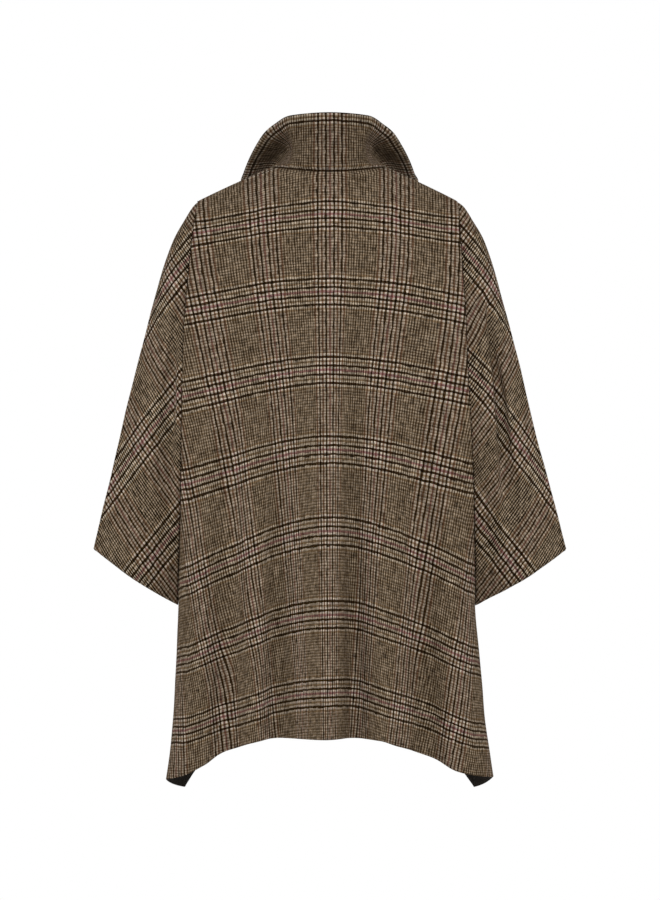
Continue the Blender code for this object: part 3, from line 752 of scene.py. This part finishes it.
# The seams come from the panels' side edges. Between them the cloth swings out by sine and cosine of
# the turn to the outside line and bellies by sin 2 turn. Below the head it flattens into two faces
# that meet in a soft fold, sags a little at the cuff and falls in at each fold by a raised cosine.
def sleevePiece(side, name):
    down = np.linspace(sleeves["first"], 1.0, sleeves["rows"]) ** sleeves["power"] * sleeves["foot"][side]
    b, a = np.meshgrid(np.linspace(1.0, -1.0, sleeves["columns"]), down)
    t = a * cut["underarm"]
    ones = np.ones_like(t)
    face = np.where(b >= 0, 1.0, -1.0)
    seam = np.where((b >= 0)[..., None], halfPanel(ones, t, False, side), halfPanel(ones, t, True, side))
    right = 1.0 if side > 0 else reading(outerLine, "right", a)
    outX, outY, outZ = (reading(outerLine, key, a) for key in "xyz")
    turn = (1 - np.abs(b)) * np.pi / 2
    degrees, out, belly = np.degrees(turn), np.sin(turn), np.sin(2 * turn)
    flat = ease(*sleeves["flatten"], a) * ease(0.0, sleeves["foldRound"], 90.0 - degrees)
    straight = np.cos(turn) + (1 - out - np.cos(turn)) * sleeves["straighter"] * flat
    bulge = belly + (4 * out * (1 - out) - belly) * flat
    sag = sleeves["sag"][side] * (belly + sleeves["sagWave"] * np.maximum(np.sin(4 * turn), 0.0))
    x = seam[..., 0] + (side * right * outX - seam[..., 0]) * out
    y = outY + (seam[..., 1] - outY) * straight + reading(outerLine, "belly", a) * face * bulge
    z = seam[..., 2] + (outZ - seam[..., 2]) * out - sag * ease(sleeves["sagFrom"], 1.0, a)
    for middle, half, depth, first, last, onFace, arm in zip(*sleeves["folds"].values()):
        away = np.clip((degrees - middle) / half, -1.0, 1.0)
        swell = np.sin(np.pi * np.clip((a - first) / (last - first), 0.0, 1.0)) ** 2
        fall = depth * (1 + np.cos(np.pi * away)) / 2 * swell
        y = y - face * np.where((face == onFace) & (arm == side), fall, 0.0)
    points = np.stack((x + side * cut["seamGap"], y, z), axis=-1)
    run = runAlong(points, 1)
    ends = np.minimum(run, run[:, -1:] - run)
    reach = np.abs(points[:, :1, 0]) + runAlong(points * np.array((1.0, sleeves["flatter"], 0.0)), 1)
    creases = sleeves["leftCreases" if side > 0 else "rightCreases"]
    calm = ease(0.0, cut["unevenCalm"], ends) * ease(*sleeves["unevenFade"], a)
    fall = creaseDepth(90.0 * b, a, creases) * ease(0.0, sleeves["creaseCalm"], ends)
    fall += unevenness(run, z, sleeves["uneven"], sleeves["seed"] + side) * calm
    fall += seamFall(ends, *cut["armSeam"]) + seamFall(runAlong(points, 0), *sleeves["headSeam"])
    points = points - outward(points) * side * fall[..., None]
    reach = reach + fromColumn(runAlong(points, 1) - run, sleeves["columns"] // 2)
    # Bias threads: bands rise or fall by slope with the distance out, one per pitch of height.
    first, second = sleeves["start"][side]
    warp = warpRepeat * (sleeves["slope"][0] * reach - z + first) / sleeves["pitch"][0]
    weft = weftRepeat * (-sleeves["slope"][1] * reach - z + second) / sleeves["pitch"][1]
    return sheetMesh(name, points, side, 0.0, cut["cloth"], np.stack((warp, weft), axis=-1),
                     sleeves["rounds"], (biasWool, reverse))


# Collar: two layers on one surface. Creases are placed across by angle from the nape and up by share
# from seam to edge; the roll above the seam is its height, depth and reach.
collar = {
    "columns": 181, "rows": 49, "power": 1.5, "end": 172.0, "lift": 0.75, "liftFrom": 0.55,
    "roll": (0.0075, 0.0014, 0.0040), "tuckReach": 0.0032, "uneven": 0.0006, "seed": 9.4,
    "flat": (0.56, 0.12), "area": 0.053, "rounds": (0.0016, 0.0008, 0.0008, 0.0008),
    "edgeToBand": 0.0078, "edgeFade": (0.35, 0.90), "stretch": 1.05,
    "warpLevel": 0.6, "warpFade": (25.0, 70.0),
    "creases": [
        ((0.02, 62.0, 14.0, 0.000), (0.40, 52.0, 13.0, 0.002), (0.98, 38.0, 12.0, 0.000)),
        ((0.02, -60.0, 14.0, 0.000), (0.40, -50.0, 13.0, 0.002), (0.98, -36.0, 12.0, 0.000)),
    ],
}


# Straight lines from the neck seam to the edge, bowed inward, onward and up by sin(pi r), a bow that
# lift takes back near the edge; a bell stands out above the seam where the cloth rolls over it.
def collarPiece(name, start):
    c, r = np.meshgrid(np.linspace(-collar["end"], collar["end"], collar["columns"]),
                       np.linspace(0.0, 1.0, collar["rows"]) ** collar["power"])
    nape, turn, left = collar["columns"] // 2, np.abs(c), c >= 0
    x, y, z = neckSeam(turn)
    z = z + 2 * cut["seamGap"]
    m = np.clip((180.0 + cut["lapTurn"] - turn) / (90.0 + cut["lapTurn"]), 0.0, 1.0) * cut["neckShare"]
    y = np.where(left, y, y - lapStep(m))
    edgeX, edgeY, edgeZ = (reading(collarEdge, key, turn) for key in "xyz")
    bow = np.sin(np.pi * r) * (1 - collar["lift"] * ease(collar["liftFrom"], 1.0, r))
    inward = reading(collarEdge, "bowIn", turn) * bow
    ahead = np.radians(turn)
    px = x + (edgeX - x) * r - inward * np.sin(ahead)
    py = y + (edgeY - y) * r - inward * np.cos(ahead) - reading(collarEdge, "bowOn", turn) * bow
    pz = z + (edgeZ - z) * r + reading(collarEdge, "bowUp", turn) * bow
    seamWidth = sideLine["right"][0]
    width = np.where(left, 1.0, -seamWidth - (reading(collarEdge, "right", turn) - seamWidth) * r)
    points = np.stack((width * px, py, pz), axis=-1)
    around = fromColumn(runAlong(points, 1), nape)
    rise = runAlong(points, 0)
    fall = creaseDepth(c, r, collar["creases"])
    fall += unevenness(around, rise, collar["uneven"], collar["seed"]) * bow
    fall -= seamFall(rise - collar["roll"][0], *collar["roll"][1:])
    tuck = neckTuck(turn, rise, np.sign(c), collar["tuckReach"])
    points = points + outward(points) * fall[..., None] + tuck
    level = around[int(collar["rows"] * collar["warpLevel"])]
    warp = level + (around - level) * (1 - ease(*collar["warpFade"], turn))
    # Weft lines lie along the edge beside it and along the neck seam beside that.
    tall = rise[-1:]
    spare = (tall[:, nape] - tall) * ease(*collar["edgeFade"], 1 - rise / tall)
    weft = collar["stretch"] * (tall - rise + spare) + collar["edgeToBand"]
    return sheetMesh(name, points, -1, start, cut["collarCloth"], np.stack((warp, weft), axis=-1),
                     collar["rounds"], (collarWoolPaintedShade, collarWoolPaintedShade))


pieces = {
    "back": backPiece(),
    "front_left": frontPiece(1, "frontClothLeft"),
    "front_right": frontPiece(-1, "frontClothRight"),
    "sleeve_left": sleevePiece(1, "sleeveClothLeft"),
    "sleeve_right": sleevePiece(-1, "sleeveClothRight"),
    "collar_under": collarPiece("collarClothUnder", 0.0),
    "collar_upper": collarPiece("collarClothUpper", cut["collarCloth"] + cut["seamGap"]),
}
print("pieces:", ", ".join("%s %d faces" % (p.name, len(p.data.polygons)) for p in pieces.values()))

for node, piece in pieces.items():
    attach(piece, "root")
    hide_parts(node)

# Studio: a pale floor below the hem, a white surround, a softbox to each side and one overhead, one
# card behind the cape and one before it.
studio = {
    "floor": -1.45, "floorAcross": (-2.4, 2.4), "floorAhead": (-1.95, 3.4), "floorLines": 9,
    "paint": "#eceae6", "surround": 0.13, "aim": (0.0, 0.0, -0.42),
    "distance": 4.12, "height": -0.4141, "lens": 108.95, "sensor": 36.0,
    "lights": [  # name, place, width, height, watts
        ("leftSoftbox", (2.7, 0.8, 0.5), 1.2, 1.6, 29.0),
        ("rightSoftbox", (-2.7, 0.8, 0.5), 1.2, 1.6, 29.0),
        ("overheadSoftbox", (0.0, 2.6, 2.4), 2.4, 1.4, 16.0),
        ("fillCard", (0.0, 4.6, 1.3), 2.0, 1.6, 101.5),
        ("frontCard", (0.0, -4.4, 1.0), 2.0, 1.6, 45.0),
    ],
}


def pointAt(obj, target):
    # Turns an object's -Z from its place towards a target.
    away = np.array(target) - np.array(obj.location)
    obj.rotation_euler = (np.arccos(-away[2] / np.linalg.norm(away)), 0.0, np.arctan2(-away[0], away[1]))


across, ahead = np.meshgrid(*(np.linspace(*studio[key], studio["floorLines"])
                              for key in ("floorAcross", "floorAhead")))
spots = np.stack((across, ahead, np.full(across.shape, studio["floor"])), -1)
floorMesh = bpy.data.meshes.new("paleFloor")
floorMesh.from_pydata(spots.reshape(-1, 3).tolist(), [], gridFaces(*across.shape)[1].tolist())
# Matt painted board: an even pale grey with no shine.
paint = newMaterial("mattPaintedBoard", {"Base Color": linear(studio["paint"]), "Roughness": 0.9})[0]
floorMesh.materials.append(paint)
floor = addObject("paleFloor", floorMesh)

for name, place, width, height, watts in studio["lights"]:
    lamp = bpy.data.lights.new(name, "AREA")
    lamp.shape = "RECTANGLE"
    lamp.size, lamp.size_y = width, height
    lamp.energy = watts
    box = addObject(name, lamp)
    box.location = place
    pointAt(box, studio["aim"])

world = bpy.data.worlds.new("whiteSurround")
bpy.context.scene.world = world
world.use_nodes = True
sky = world.node_tree.nodes["Background"]
sky.inputs["Color"].default_value = (1.0, 1.0, 1.0, 1.0)
ray = addNode(world.node_tree, "ShaderNodeLightPath")
seen = addNode(world.node_tree, "ShaderNodeMapRange",
               {"Value": ray.outputs["Is Camera Ray"], "To Min": studio["surround"], "To Max": 1.0})
world.node_tree.links.new(seen.outputs[0], sky.inputs["Strength"])
bpy.context.scene.view_settings.view_transform = "Standard"

lens = bpy.data.cameras.new("studioCamera")
lens.sensor_width = studio["sensor"]
lens.lens = studio["lens"]
lens.dof.use_dof = False
camera = addObject("studioCamera", lens)
camera.location = (0.0, studio["distance"], studio["height"])
camera.rotation_euler = (np.pi / 2, 0.0, np.pi)
bpy.context.scene.camera = camera
print("studio set")
